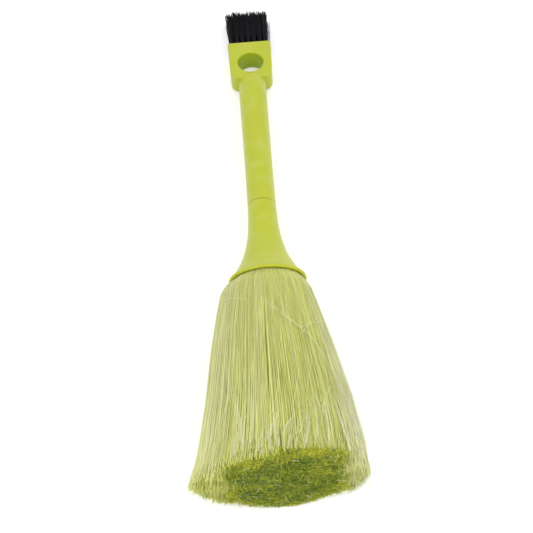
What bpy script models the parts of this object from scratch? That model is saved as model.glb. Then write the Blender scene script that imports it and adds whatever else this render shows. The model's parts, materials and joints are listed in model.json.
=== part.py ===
# Electrostatic duster. A moulded handle has a hanging hole and a small stiff brush in its head, and its
# spigot plugs into a flared bell, which holds a bundle of fine dusting fibres.
# Units are metres. The duster is modelled upright: +Z runs along it towards the head, z = 0 is the
# bell's rim, +X is its right and -Y its front. One empty then lays it on its back, with +Z up.

import math
import random

import bmesh
import bpy
from mathutils import Vector

mm = 0.001
TURN = 2 * math.pi

# Driving dimensions along the duster
FIBRE_LENGTH = 118.8 * mm
BELL_LENGTH = 51.4 * mm
GRIP_LENGTH = 92.5 * mm
HEAD_HEIGHT = 28.8 * mm
BRISTLE_LENGTH = 27.0 * mm

# Head block
HEAD_THICKNESS = 13.0 * mm
HEAD_WIDTH_TOP = 25.9 * mm
HEAD_WIDTH_BOTTOM = 24.3 * mm
HEAD_LOWER_CORNER = 5.0 * mm
HEAD_UPPER_CORNER = 1.5 * mm
HEAD_EDGE = 1.0 * mm
HANG_HOLE_DIAMETER = 15.0 * mm
HANG_HOLE_HEIGHT_SHARE = 0.4132
HANG_HOLE_EDGE = 0.8 * mm

# Grip, its dome in the head block, and the spigot that plugs into the bell
GRIP_RADIUS_TOP = 8.0 * mm
GRIP_RADIUS_WAIST = 7.7 * mm
GRIP_RADIUS_SEAM = 7.8 * mm
GRIP_ROOT_SWELL = 0.3 * mm
GRIP_ROOT_LENGTH = 7.0 * mm
GRIP_DOME_HEIGHT = 5.0 * mm
SPIGOT_WALL = 1.9 * mm
GRIP_BORE_STOP = 6.0 * mm
GRIP_WAIST_SHARE = 0.3
SPIGOT_DEPTH = 16.0 * mm
SEAM_CHAMFER = 0.3 * mm

# Bell: a round neck that flares into an elliptical mouth with a beaded rim
BELL_WIDTH = 41.6 * mm
BELL_DEPTH = 29.8 * mm
BELL_WALL = 1.6 * mm
BELL_BEAD_RADIUS = 0.95 * mm
FLARE_LINEAR_SHARE = 0.1
FLARE_POWER = 3.1

# Small brush: tufts in staggered rows, each folded round a flat anchor
TUFT_MARGIN_X = 2.84 * mm
TUFT_MARGIN_Y = 3.3 * mm
TUFT_ROWS = (7, 6, 7)
TUFT_HOLE_RADIUS = 1.3 * mm
TUFT_HOLE_FLOOR = 1.4 * mm
TUFT_SIDES = 4
TUFT_TIP_SHARE = 0.625
TUFT_SPLAY_SHARE = 0.07
TUFT_RAGGED = 2.0 * mm
TUFT_ROOT_FILL_SHARE = 0.8
TUFT_TIP_FILL_SHARE = 0.62
FOLD_THICKNESS = 0.5 * mm
ANCHOR_THICKNESS = 0.3 * mm
ANCHOR_HEIGHT = 1.4 * mm
ANCHOR_CLEARANCE = 0.2 * mm

# Fibre bundle: a core hank and six hanks round it, their strands set in rings of triangular cells
HANKS_ROUND_CORE = 6
RINGS = 7
CORE_RINGS = 3
FIBRE_END_WIDTH = 89.0 * mm
FIBRE_END_DEPTH = 58.0 * mm
MOUTH_HEIGHT = 3.0 * mm
MOUTH_GAP = 0.4 * mm
SHOULDER_SHARE = 0.135
SHOULDER_SPREAD_SHARE = 0.2
END_SLANT = 4.0 * mm
END_RAGGED = 3.0 * mm
HANK_SHRINK_SHARE = 0.9
ROOT_FILL_SHARE = 0.62
MOUTH_FILL_SHARE = 0.78
SHOULDER_FILL_SHARE = 0.84
END_FILL_SHARE = 0.7
REST_CUT = 0.5 * mm

# Root of the bundle: slabs of melted fibre, bound by wire under a bed of glue
GLUE_THICKNESS = 7.0 * mm
ROOT_HEIGHT = 6.3 * mm
WIRE_RADIUS = 0.4 * mm
WIRE_GAP = 0.5 * mm
WIRE_TURNS = 2

# Fits and modelling values
FIT = 0.3 * mm
OVERRUN = 2.0 * mm
ROUND_STEPS = 32
HOLE_STEPS = 48
ARC_STEPS = 4
CORNER_STEPS = 6
EDGE_STEPS = 3
BELL_SIDES = 40
BELL_OUTER_STEPS = 11
BELL_INNER_STEPS = 8
BEAD_STEPS = 8
BEAD_START = 40
BEAD_END = -220
GLUE_STEPS = 2
TUFT_HOLE_SIDES = 12
WIRE_POINTS_PER_TURN = 14
SLAB_MARGIN_SHARE = 0.1
MOST_TILT = math.radians(20)
TILT_STEPS = 50
SHARP_ANGLE = math.radians(35)
SEED = 5

# Sizes worked out from the ones above
HEAD_BOTTOM_Z = BELL_LENGTH + GRIP_LENGTH
HEAD_TOP_Z = HEAD_BOTTOM_Z + HEAD_HEIGHT
HANG_HOLE_Z = HEAD_BOTTOM_Z + HEAD_HEIGHT * HANG_HOLE_HEIGHT_SHARE
SOCKET_RADIUS = GRIP_RADIUS_SEAM - BELL_WALL
SOCKET_FLOOR_Z = BELL_LENGTH - SPIGOT_DEPTH
SPIGOT_RADIUS = SOCKET_RADIUS - FIT
SPIGOT_END_Z = SOCKET_FLOOR_Z + FIT
GRIP_BORE_RADIUS = SPIGOT_RADIUS - SPIGOT_WALL
GLUE_TOP_Z = SOCKET_FLOOR_Z - FIT
GLUE_BOTTOM_Z = GLUE_TOP_Z - GLUE_THICKNESS
ROOT_TOP_Z = GLUE_BOTTOM_Z - FIT
ROOT_FACE_Z = ROOT_TOP_Z - ROOT_HEIGHT
WIRE_MIDDLE_Z = (ROOT_TOP_Z + ROOT_FACE_Z) / 2
WIRE_PITCH = 2 * WIRE_RADIUS + WIRE_GAP
TUFT_PITCH_X = (HEAD_WIDTH_TOP - 2 * TUFT_MARGIN_X) / (max(TUFT_ROWS) - 1)
TUFT_PITCH_Y = (HEAD_THICKNESS - 2 * TUFT_MARGIN_Y) / (len(TUFT_ROWS) - 1)
TUFT_RADIUS = TUFT_HOLE_RADIUS - FIT
TUFT_HOLE_DEPTH = HEAD_TOP_Z - HANG_HOLE_Z - HANG_HOLE_DIAMETER / 2 - TUFT_HOLE_FLOOR
TUFT_BOTTOM_Z = HEAD_TOP_Z - TUFT_HOLE_DEPTH + FIT
ANCHOR_Z = TUFT_BOTTOM_Z + FOLD_THICKNESS + ANCHOR_CLEARANCE + ANCHOR_HEIGHT / 2


def srgb(red, green, blue):
    """A colour given in 8-bit sRGB, as linear values for a shader."""
    linear = [(value / 255 + 0.055) / 1.055 for value in (red, green, blue)]
    return [value**2.4 for value in linear] + [1.0]


LIME = srgb(198, 204, 72)
PALE_LIME = srgb(208, 214, 130)
BLACK = srgb(26, 26, 32)
STEEL = srgb(190, 190, 190)
AMBER = srgb(214, 200, 150)


def remove_everything():
    for thing in list(bpy.data.objects):
        bpy.data.objects.remove(thing, do_unlink=True)


def new_collection(name):
    collection = bpy.data.collections.new(name)
    bpy.context.scene.collection.children.link(collection)
    return collection


def new_material(name, colour, roughness, metallic=0.0):
    material = bpy.data.materials.new(name)
    material.use_nodes = True
    shader = material.node_tree.nodes["Principled BSDF"]
    shader.inputs["Base Color"].default_value = colour
    shader.inputs["Roughness"].default_value = roughness
    shader.inputs["Metallic"].default_value = metallic
    material.diffuse_color = colour
    return material


def add_part(name, data, material, location=(0, 0, 0)):
    """Links a mesh or curve as one sub-part of the duster."""
    part = bpy.data.objects.new(name, data)
    part.location = location
    part.parent = resting_pose
    data.materials.append(material)
    parts.objects.link(part)
    return part


def add_guide(name, data, location=(0, 0, 0)):
    """Links a shape that only cuts or joins another one."""
    guide = bpy.data.objects.new(name, data)
    guide.location = location
    guide.parent = resting_pose
    guide.hide_render = True
    guide.display_type = "WIRE"
    cutters.objects.link(guide)
    return guide


def add_boolean(part, operation, guide):
    modifier = part.modifiers.new(guide.name, "BOOLEAN")
    modifier.operation = operation
    modifier.solver = "EXACT"
    modifier.object = guide


def add_screw(part, steps):
    screw = part.modifiers.new("Turn", "SCREW")
    screw.axis = "Z"
    screw.steps = steps
    screw.render_steps = steps
    screw.use_merge_vertices = True
    screw.merge_threshold = 0.01 * mm
    screw.use_smooth_shade = True


def mesh_from_bmesh(name, bm):
    bmesh.ops.recalc_face_normals(bm, faces=bm.faces)
    mesh = bpy.data.meshes.new(name)
    bm.to_mesh(mesh)
    bm.free()
    mesh.shade_smooth()
    mesh.set_sharp_from_angle(angle=SHARP_ANGLE)
    return mesh


def profile_mesh(name, points):
    """An open outline of (radius, z) points in the XZ plane, to be turned by a Screw."""
    mesh = bpy.data.meshes.new(name)
    edges = [(i, i + 1) for i in range(len(points) - 1)]
    mesh.from_pydata([(radius, 0, z) for radius, z in points], edges, [])
    return mesh


def arc(centre, radii, start, end, steps):
    """Points (radius, z) along an elliptical arc between two angles in degrees."""
    points = []
    for i in range(steps + 1):
        angle = math.radians(start + (end - start) * i / steps)
        points.append((centre[0] + radii[0] * math.cos(angle), centre[1] + radii[1] * math.sin(angle)))
    return points


# Handle

def head_width(z):
    share = (z - HEAD_BOTTOM_Z) / HEAD_HEIGHT
    return HEAD_WIDTH_BOTTOM + (HEAD_WIDTH_TOP - HEAD_WIDTH_BOTTOM) * share


def head_block_bmesh():
    """The tapered head block with rounded corners and softened edges, before any hole."""
    bm = bmesh.new()
    bmesh.ops.create_cube(bm, size=1)
    for vert in bm.verts:
        z = HEAD_BOTTOM_Z + HEAD_HEIGHT * (0.5 + vert.co.z)
        vert.co = (vert.co.x * head_width(z), vert.co.y * HEAD_THICKNESS, z)
    middle_z = HEAD_BOTTOM_Z + HEAD_HEIGHT / 2
    corners = ((HEAD_LOWER_CORNER, False, CORNER_STEPS), (HEAD_UPPER_CORNER, True, EDGE_STEPS))
    for corner, is_upper, segments in corners:
        edges = [
            edge
            for edge in bm.edges
            if abs((edge.verts[0].co - edge.verts[1].co).normalized().y) > 0.99
            and (edge.verts[0].co.z > middle_z) == is_upper
        ]
        bmesh.ops.bevel(
            bm, geom=edges, offset=corner, offset_type="OFFSET", segments=segments, profile=0.5,
            affect="EDGES",
        )
    bm.normal_update()
    rim_edges = {edge for face in bm.faces if abs(face.normal.y) > 0.99 for edge in face.edges}
    bmesh.ops.bevel(
        bm, geom=list(rim_edges), offset=HEAD_EDGE, offset_type="OFFSET", segments=EDGE_STEPS,
        profile=0.5, affect="EDGES",
    )
    return bm


def grip_profile():
    """The grip from its dome inside the head down to the spigot, then up its bore."""
    root_radius = GRIP_RADIUS_TOP + GRIP_ROOT_SWELL
    points = arc((0, HEAD_BOTTOM_Z), (root_radius, GRIP_DOME_HEIGHT), 90, 0, CORNER_STEPS)
    points[0] = (0, HEAD_BOTTOM_Z + GRIP_DOME_HEIGHT)
    root_centre = (root_radius, HEAD_BOTTOM_Z - GRIP_ROOT_LENGTH)
    points += arc(root_centre, (GRIP_ROOT_SWELL, GRIP_ROOT_LENGTH), 90, 180, EDGE_STEPS)[1:]
    points.append((GRIP_RADIUS_WAIST, BELL_LENGTH + GRIP_LENGTH * GRIP_WAIST_SHARE))
    points.append((GRIP_RADIUS_SEAM, BELL_LENGTH + FIT + SEAM_CHAMFER))
    points.append((GRIP_RADIUS_SEAM - SEAM_CHAMFER, BELL_LENGTH + FIT))
    points.append((SPIGOT_RADIUS, BELL_LENGTH + FIT))
    points.append((SPIGOT_RADIUS, SPIGOT_END_Z + SEAM_CHAMFER))
    points.append((SPIGOT_RADIUS - SEAM_CHAMFER, SPIGOT_END_Z))
    points.append((GRIP_BORE_RADIUS, SPIGOT_END_Z))
    bore_top = HEAD_BOTTOM_Z - GRIP_BORE_STOP
    dome_centre = (0, bore_top - GRIP_BORE_RADIUS)
    dome = arc(dome_centre, (GRIP_BORE_RADIUS, GRIP_BORE_RADIUS), 0, 90, ARC_STEPS)
    dome[-1] = (0, bore_top)
    return points + dome


def hang_hole_profile():
    """The hanging hole with a rounded edge at each face, for a cutter turned about the hole's axis."""
    half = HEAD_THICKNESS / 2
    radius = HANG_HOLE_DIAMETER / 2
    centre_r = radius + HANG_HOLE_EDGE
    edge_radii = (HANG_HOLE_EDGE, HANG_HOLE_EDGE)
    upper = arc((centre_r, half - HANG_HOLE_EDGE), edge_radii, 90, 180, ARC_STEPS)
    lower = arc((centre_r, HANG_HOLE_EDGE - half), edge_radii, 180, 270, ARC_STEPS)
    top = [(0, half + OVERRUN), (centre_r, half + OVERRUN)]
    bottom = [(centre_r, -half - OVERRUN), (0, -half - OVERRUN)]
    return top + upper + lower + bottom


def tuft_places():
    """Centres (x, y) of the tuft holes in the head's top face."""
    places = []
    for row, count in enumerate(TUFT_ROWS):
        y = (row - (len(TUFT_ROWS) - 1) / 2) * TUFT_PITCH_Y
        for i in range(count):
            places.append(((i - (count - 1) / 2) * TUFT_PITCH_X, y))
    return places


def make_handle():
    handle = add_part("handle", mesh_from_bmesh("handle", head_block_bmesh()), lime_plastic)

    grip_form = add_guide("grip_form", profile_mesh("grip_form", grip_profile()))
    add_screw(grip_form, ROUND_STEPS)
    add_boolean(handle, "UNION", grip_form)

    hang_hole = add_guide("hang_hole", profile_mesh("hang_hole", hang_hole_profile()))
    hang_hole.location.z = HANG_HOLE_Z
    hang_hole.rotation_euler.x = math.radians(90)
    add_screw(hang_hole, HOLE_STEPS)
    add_boolean(handle, "DIFFERENCE", hang_hole)

    bm = bmesh.new()
    for x, y in tuft_places():
        made = bmesh.ops.create_cone(
            bm, cap_ends=True, segments=TUFT_HOLE_SIDES, radius1=TUFT_HOLE_RADIUS,
            radius2=TUFT_HOLE_RADIUS, depth=TUFT_HOLE_DEPTH + OVERRUN,
        )
        centre_z = HEAD_TOP_Z + (OVERRUN - TUFT_HOLE_DEPTH) / 2
        bmesh.ops.translate(bm, verts=made["verts"], vec=(x, y, centre_z))
    tuft_holes = add_guide("tuft_holes", mesh_from_bmesh("tuft_holes", bm))
    add_boolean(handle, "DIFFERENCE", tuft_holes)


# Bell and glue

def bell_half_sizes(z):
    """Half the bell's outer width and depth, without its bead, at a height above the rim."""
    run = (BELL_LENGTH - z) / BELL_LENGTH
    flare = FLARE_LINEAR_SHARE * run + (1 - FLARE_LINEAR_SHARE) * run**FLARE_POWER
    bead_overhang = BELL_BEAD_RADIUS - BELL_WALL / 2
    width = GRIP_RADIUS_SEAM + (BELL_WIDTH / 2 - bead_overhang - GRIP_RADIUS_SEAM) * flare
    depth = GRIP_RADIUS_SEAM + (BELL_DEPTH / 2 - bead_overhang - GRIP_RADIUS_SEAM) * flare
    return width, depth


def inside_bell(z, inset):
    width, depth = bell_half_sizes(z)
    return width - inset, depth - inset


def loft(name, rings, sides, is_loop):
    """Joins elliptical rings of (half width, half depth, z), as a closed loop or with flat caps."""
    bm = bmesh.new()
    loops = []
    for width, depth, z in rings:
        angles = [TURN * i / sides for i in range(sides)]
        loops.append([bm.verts.new((width * math.cos(a), depth * math.sin(a), z)) for a in angles])
    pairs = list(zip(loops, loops[1:]))
    if is_loop:
        pairs.append((loops[-1], loops[0]))
    else:
        bm.faces.new(loops[0])
        bm.faces.new(loops[-1])
    for first, second in pairs:
        for i in range(sides):
            j = (i + 1) % sides
            bm.faces.new((first[i], first[j], second[j], second[i]))
    return mesh_from_bmesh(name, bm)


def make_bell():
    rings = []
    neck_width, neck_depth = bell_half_sizes(BELL_LENGTH)
    rings.append((neck_width - SEAM_CHAMFER, neck_depth - SEAM_CHAMFER, BELL_LENGTH))
    bead_top = BELL_BEAD_RADIUS * 2
    neck_z = BELL_LENGTH - SEAM_CHAMFER
    for i in range(BELL_OUTER_STEPS + 1):
        z = neck_z + (bead_top - neck_z) * i / BELL_OUTER_STEPS
        rings.append((*bell_half_sizes(z), z))
    wall_width = BELL_WIDTH / 2 - BELL_BEAD_RADIUS
    wall_depth = BELL_DEPTH / 2 - BELL_BEAD_RADIUS
    bead_radii = (BELL_BEAD_RADIUS, BELL_BEAD_RADIUS)
    for offset, z in arc((0, BELL_BEAD_RADIUS), bead_radii, BEAD_START, BEAD_END, BEAD_STEPS):
        rings.append((wall_width + offset, wall_depth + offset, z))
    for i in range(BELL_INNER_STEPS + 1):
        z = bead_top + (SOCKET_FLOOR_Z - bead_top) * i / BELL_INNER_STEPS
        rings.append((*inside_bell(z, BELL_WALL), z))
    rings.append((SOCKET_RADIUS, SOCKET_RADIUS, SOCKET_FLOOR_Z))
    rings.append((SOCKET_RADIUS, SOCKET_RADIUS, BELL_LENGTH))
    add_part("bell", loft("bell", rings, BELL_SIDES, True), lime_plastic)


def make_glue_bed():
    rings = []
    for i in range(GLUE_STEPS + 1):
        z = GLUE_TOP_Z - GLUE_THICKNESS * i / GLUE_STEPS
        rings.append((*inside_bell(z, BELL_WALL + FIT), z))
    add_part("glue_bed", loft("glue_bed", rings, ROUND_STEPS, False), glue)


# Roots and binding wire

def wire_top_z():
    return WIRE_MIDDLE_Z + WIRE_PITCH * WIRE_TURNS / 2 + WIRE_RADIUS


def root_half_sizes():
    """Half the width and depth of the bound roots, inside the wire that the bell's wall clears."""
    inset = BELL_WALL + FIT + 2 * WIRE_RADIUS + FIT
    return inside_bell(wire_top_z(), inset)


def make_binding_wire():
    width, depth = (half + FIT + WIRE_RADIUS for half in root_half_sizes())
    count = WIRE_TURNS * WIRE_POINTS_PER_TURN
    path = []
    for i in range(count + 1):
        angle = TURN * i / WIRE_POINTS_PER_TURN
        z = WIRE_MIDDLE_Z + WIRE_PITCH * WIRE_TURNS * (i / count - 0.5)
        path.append(Vector((width * math.cos(angle), depth * math.sin(angle), z)))
    least = min(
        (path[i] - path[j]).length
        for i in range(len(path))
        for j in range(i + WIRE_POINTS_PER_TURN // 2, len(path))
    )
    print(f"binding wire: least gap to itself {(least - 2 * WIRE_RADIUS) / mm:.2f} mm")

    curve = bpy.data.curves.new("binding_wire", "CURVE")
    curve.dimensions = "3D"
    curve.bevel_depth = WIRE_RADIUS
    curve.bevel_resolution = 1
    curve.use_fill_caps = True
    spline = curve.splines.new("POLY")
    spline.points.add(len(path) - 1)
    for point, place in zip(spline.points, path):
        point.co = (*place, 1)
    add_part("binding_wire", curve, steel)


# Strands: a slab tiled with triangular cells, with one strand grown from each cell

def ring_point(ring, rings, index):
    if ring == 0:
        return (0.0, 0.0)
    angle = TURN * index / (HANKS_ROUND_CORE * ring)
    return (ring / rings * math.cos(angle), ring / rings * math.sin(angle))


def sector_cells(first_ring, last_ring, sector):
    """Triangular cells of one sixth of a disc of unit radius, between two rings."""
    cells = []
    for ring in range(first_ring, last_ring + 1):
        for i in range(ring):
            outer = ring_point(ring, RINGS, sector * ring + i)
            outer_next = ring_point(ring, RINGS, sector * ring + i + 1)
            inner = ring_point(ring - 1, RINGS, sector * (ring - 1) + i)
            cells.append((outer, outer_next, inner))
            if i < ring - 1:
                inner_next = ring_point(ring - 1, RINGS, sector * (ring - 1) + i + 1)
                cells.append((outer_next, inner_next, inner))
    return cells


def fan_cells(sides):
    """Triangular cells of a regular outline of unit radius, with flats along X and Y when it has four."""
    corners = []
    for i in range(sides):
        angle = TURN * (i + 0.5) / sides
        corners.append((math.cos(angle), math.sin(angle)))
    return [((0.0, 0.0), corners[i], corners[(i + 1) % sides]) for i in range(sides)]


def shrink(points, share):
    centre = sum(points, Vector()) / len(points)
    return [centre + (point - centre) * share for point in points]


def move_corners(face, old, new):
    """Moves each corner of a face from its nearest old place to the matching new one."""
    for vert in face.verts:
        nearest = min(range(len(old)), key=lambda i: (vert.co - old[i]).length)
        vert.co = new[nearest]


def grow_strands(name, cells, root, slab, stations):
    """A slab whose face is tiled with cells, and a three-sided strand grown from each of them.

    root places a cell's corner on the slab's face, slab is the vector from the face to the slab's back,
    and each strand's stations give the corners it passes through.
    """
    bm = bmesh.new()
    verts = {}
    faces = []
    for cell in cells:
        for point in cell:
            key = (round(point[0], 6), round(point[1], 6))
            if key not in verts:
                verts[key] = bm.verts.new(root(point))
        faces.append(bm.faces.new([verts[round(x, 6), round(y, 6)] for x, y in cell]))

    back = bmesh.ops.extrude_face_region(bm, geom=faces)["geom"]
    bmesh.ops.translate(bm, verts=[g for g in back if isinstance(g, bmesh.types.BMVert)], vec=slab)
    bmesh.ops.dissolve_faces(bm, faces=[g for g in back if isinstance(g, bmesh.types.BMFace)])

    margin = min(edge.calc_length() for edge in faces[0].edges) * SLAB_MARGIN_SHARE
    bmesh.ops.inset_individual(bm, faces=faces, thickness=margin, use_even_offset=True)
    for cell, face, strand in zip(cells, faces, stations):
        old = [root(point) for point in cell]
        new = shrink(old, strand["root_fill"])
        move_corners(face, old, new)
        for corners in strand["corners"]:
            face = bmesh.ops.extrude_discrete_faces(bm, faces=[face])["faces"][0]
            move_corners(face, new, corners)
            new = corners
    return mesh_from_bmesh(name, bm)


# Fibre hanks

def section_point(point, half_sizes, z):
    """A point of the unit disc placed in one of the bundle's elliptical sections."""
    return Vector((point[0] * half_sizes[0], point[1] * half_sizes[1], z))


def end_half_sizes():
    return FIBRE_END_WIDTH / 2, FIBRE_END_DEPTH / 2


def shoulder_half_sizes():
    """Half the bundle's width and depth where it has spread past the bell's rim."""
    rim = (BELL_WIDTH / 2, BELL_DEPTH / 2)
    return [a + (b - a) * SHOULDER_SPREAD_SHARE for a, b in zip(rim, end_half_sizes())]


def strand_length(cell, chance):
    """A strand's length below the rim: the cut end slants across the bundle and is ragged."""
    x = sum(point[0] for point in cell) / len(cell)
    return FIBRE_LENGTH - END_SLANT * (x + 1) / 2 - END_RAGGED * chance.random()


def hank_root_place(cells):
    """Places a hank's cells on the root face, drawn in so that the hanks don't touch."""
    points = {point for cell in cells for point in cell}
    middle = [sum(point[i] for point in points) / len(points) for i in range(2)]

    def place(point):
        drawn = [m + (p - m) * HANK_SHRINK_SHARE for p, m in zip(point, middle)]
        return section_point(drawn, root_half_sizes(), ROOT_FACE_Z)

    return place


def hank_stations(cells, is_core, chance):
    """The corners that each strand of a hank passes through. The hidden core's strands run straight."""
    mouth = (inside_bell(MOUTH_HEIGHT, BELL_WALL + MOUTH_GAP), MOUTH_HEIGHT, MOUTH_FILL_SHARE)
    shoulder = (shoulder_half_sizes(), -FIBRE_LENGTH * SHOULDER_SHARE, SHOULDER_FILL_SHARE)
    stations = []
    for cell in cells:
        end = (end_half_sizes(), -strand_length(cell, chance), END_FILL_SHARE)
        sections = [end] if is_core else [mouth, shoulder, end]
        corners = [
            shrink([section_point(point, half_sizes, z) for point in cell], fill)
            for half_sizes, z, fill in sections
        ]
        stations.append({"root_fill": ROOT_FILL_SHARE, "corners": corners})
    return stations


def plan_hanks():
    """Every hank's name, cells and strand stations."""
    chance = random.Random(SEED)
    plans = []
    core = [cell for sector in range(HANKS_ROUND_CORE) for cell in sector_cells(1, CORE_RINGS, sector)]
    plans.append(("fibre_hank_core", core, hank_stations(core, True, chance)))
    for sector in range(HANKS_ROUND_CORE):
        cells = sector_cells(CORE_RINGS + 1, RINGS, sector)
        name = f"fibre_hank_{sector + 1}"
        plans.append((name, cells, hank_stations(cells, False, chance)))
    return plans


def reach_down(points, tilt):
    """How far the lowest of some points lies below the duster's axis when it lies on its back."""
    return max(point.y * math.cos(tilt) + point.z * math.sin(tilt) for point in points)


def find_tilt(head_points, fibre_points):
    """The tilt at which the head's back edge and the fibres rest together, with the fibres cut flat."""
    low = 0.0
    high = MOST_TILT
    for _ in range(TILT_STEPS):
        middle = (low + high) / 2
        if reach_down(fibre_points, middle) > reach_down(head_points, middle) + REST_CUT:
            low = middle
        else:
            high = middle
    return (low + high) / 2


def cut_flat(stations, tilt, floor):
    """Raises what lies below the resting plane on to it."""
    for strand in stations:
        for corners in strand["corners"]:
            for corner in corners:
                below = reach_down([corner], tilt) - floor
                if below > 0:
                    corner.y -= below / math.cos(tilt)


def make_hanks(plans, tilt, floor):
    slab = Vector((0, 0, ROOT_HEIGHT))
    for name, cells, stations in plans:
        cut_flat(stations, tilt, floor)
        mesh = grow_strands(name, cells, hank_root_place(cells), slab, stations)
        add_part(name, mesh, dusting_fibre)


# Small brush

def tuft_stations(cells, x, y, chance):
    """Each strand of a tuft, from its slug in the hole to a thin tip that leans outwards."""
    stations = []
    for cell in cells:
        height = BRISTLE_LENGTH - TUFT_RAGGED * chance.random()
        tip = []
        for u, v in cell:
            tip_x = u * TUFT_PITCH_X * TUFT_TIP_SHARE + x * TUFT_SPLAY_SHARE
            tip_y = v * TUFT_PITCH_Y * TUFT_TIP_SHARE + y * TUFT_SPLAY_SHARE
            tip.append(Vector((tip_x, tip_y, height)))
        stations.append(
            {"root_fill": TUFT_ROOT_FILL_SHARE, "corners": [shrink(tip, TUFT_TIP_FILL_SHARE)]}
        )
    return stations


def box_bmesh(bm, size, centre):
    made = bmesh.ops.create_cube(bm, size=1)
    bmesh.ops.scale(bm, verts=made["verts"], vec=size)
    bmesh.ops.translate(bm, verts=made["verts"], vec=centre)


def make_small_brush():
    window_size = (
        2 * TUFT_HOLE_RADIUS,
        ANCHOR_THICKNESS + 2 * ANCHOR_CLEARANCE,
        ANCHOR_HEIGHT + 2 * ANCHOR_CLEARANCE,
    )
    bm = bmesh.new()
    for x, y in tuft_places():
        box_bmesh(bm, window_size, (x, y, ANCHOR_Z))
    anchor_windows = add_guide("anchor_windows", mesh_from_bmesh("anchor_windows", bm))

    bm = bmesh.new()
    box_bmesh(bm, (2 * TUFT_RADIUS, ANCHOR_THICKNESS, ANCHOR_HEIGHT), (0, 0, 0))
    anchor_mesh = mesh_from_bmesh("tuft_anchor", bm)

    chance = random.Random(SEED)
    cells = fan_cells(TUFT_SIDES)
    slab = Vector((0, 0, TUFT_BOTTOM_Z - HEAD_TOP_Z))
    for number, (x, y) in enumerate(tuft_places(), start=1):
        mesh = grow_strands(
            f"bristle_tuft_{number:02d}",
            cells,
            lambda point: Vector((point[0] * TUFT_RADIUS, point[1] * TUFT_RADIUS, 0)),
            slab,
            tuft_stations(cells, x, y, chance),
        )
        tuft = add_part(mesh.name, mesh, black_bristle, (x, y, HEAD_TOP_Z))
        add_boolean(tuft, "DIFFERENCE", anchor_windows)
        anchor = bpy.data.objects.new(f"tuft_anchor_{number:02d}", anchor_mesh)
        anchor.location = (x, y, ANCHOR_Z)
        anchor.parent = resting_pose
        parts.objects.link(anchor)
    anchor_mesh.materials.append(steel)


# Resting pose

def world_corners():
    """The lowest and highest corner of all the parts in world space."""
    depsgraph = bpy.context.evaluated_depsgraph_get()
    points = []
    for part in parts.objects:
        if part.type == "EMPTY":
            continue
        evaluated = part.evaluated_get(depsgraph)
        mesh = evaluated.to_mesh()
        points += [evaluated.matrix_world @ vert.co for vert in mesh.vertices]
        evaluated.to_mesh_clear()
    low = Vector([min(point[i] for point in points) for i in range(3)])
    high = Vector([max(point[i] for point in points) for i in range(3)])
    return low, high


def lay_on_back(tilt):
    """Lays the duster on its back with the middle of its base at the world's origin."""
    resting_pose.rotation_euler.x = -(math.pi / 2 + tilt)
    bpy.context.view_layer.update()
    low, high = world_corners()
    resting_pose.location = (-(low.x + high.x) / 2, -(low.y + high.y) / 2, -low.z)
    bpy.context.view_layer.update()
    print(f"size {[round((b - a) / mm, 2) for a, b in zip(low, high)]} mm")


remove_everything()
parts = new_collection("electrostatic_duster")
cutters = new_collection("cutters")
resting_pose = bpy.data.objects.new("resting_pose", None)
parts.objects.link(resting_pose)

lime_plastic = new_material("lime_plastic", LIME, 0.38)
dusting_fibre = new_material("dusting_fibre", PALE_LIME, 0.5)
black_bristle = new_material("black_bristle", BLACK, 0.45)
steel = new_material("steel", STEEL, 0.3, 1.0)
glue = new_material("glue", AMBER, 0.6)

hank_plans = plan_hanks()
block = head_block_bmesh()
block_points = [vert.co.copy() for vert in block.verts]
block.free()
fibre_points = [
    corner for _, _, stations in hank_plans for strand in stations for corner in strand["corners"][-1]
]
rest_tilt = find_tilt(block_points, fibre_points)
print(f"tilt {math.degrees(rest_tilt):.3f} degrees")

make_handle()
make_bell()
make_glue_bed()
make_binding_wire()
make_hanks(hank_plans, rest_tilt, reach_down(block_points, rest_tilt))
make_small_brush()
lay_on_back(rest_tilt)
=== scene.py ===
import json
import math
import random
import re

import bpy
from mathutils import Matrix, Vector


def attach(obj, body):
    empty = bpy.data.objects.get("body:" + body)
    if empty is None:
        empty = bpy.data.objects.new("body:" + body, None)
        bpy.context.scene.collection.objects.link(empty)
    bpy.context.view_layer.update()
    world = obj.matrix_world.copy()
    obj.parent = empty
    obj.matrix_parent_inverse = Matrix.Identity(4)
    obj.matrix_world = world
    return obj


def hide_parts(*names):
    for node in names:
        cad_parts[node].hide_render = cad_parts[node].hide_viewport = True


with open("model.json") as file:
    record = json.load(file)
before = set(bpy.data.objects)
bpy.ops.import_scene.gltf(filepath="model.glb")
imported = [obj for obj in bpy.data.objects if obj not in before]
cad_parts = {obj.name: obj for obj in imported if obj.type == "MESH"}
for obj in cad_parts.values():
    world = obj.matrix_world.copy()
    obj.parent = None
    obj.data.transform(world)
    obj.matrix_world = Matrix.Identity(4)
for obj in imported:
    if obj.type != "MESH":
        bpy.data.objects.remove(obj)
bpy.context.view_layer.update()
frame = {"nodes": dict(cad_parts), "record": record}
print("frame loaded:", len(frame["nodes"]), "nodes")

mm = 0.001
dusterBody = "root"
strandMap = "OFBake"   # the strands' UV map: kind and tone across, root to tip upwards


# the duster's own axes: right, back and along towards the head, from the middle of the bell's rim

def mountNamed(name):
    return next(mount for mount in frame["record"]["mounts"] if mount["name"] == name)


def placesOn(back, *nodeNames):
    return [back @ v.co for name in nodeNames for v in frame["nodes"][name].data.vertices]


def cornersOf(places):
    # lowest and highest corner of some places
    return [Vector([pick(p[i] for p in places) for i in range(3)]) for pick in (min, max)]


frontWay = Vector(mountNamed("head_front_face")["axis"])
rightWay = Vector((1, 0, 0))
alongWay = frontWay.cross(rightWay)
dusterTurn = Matrix((rightWay, -frontWay, alongWay)).transposed()

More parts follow.
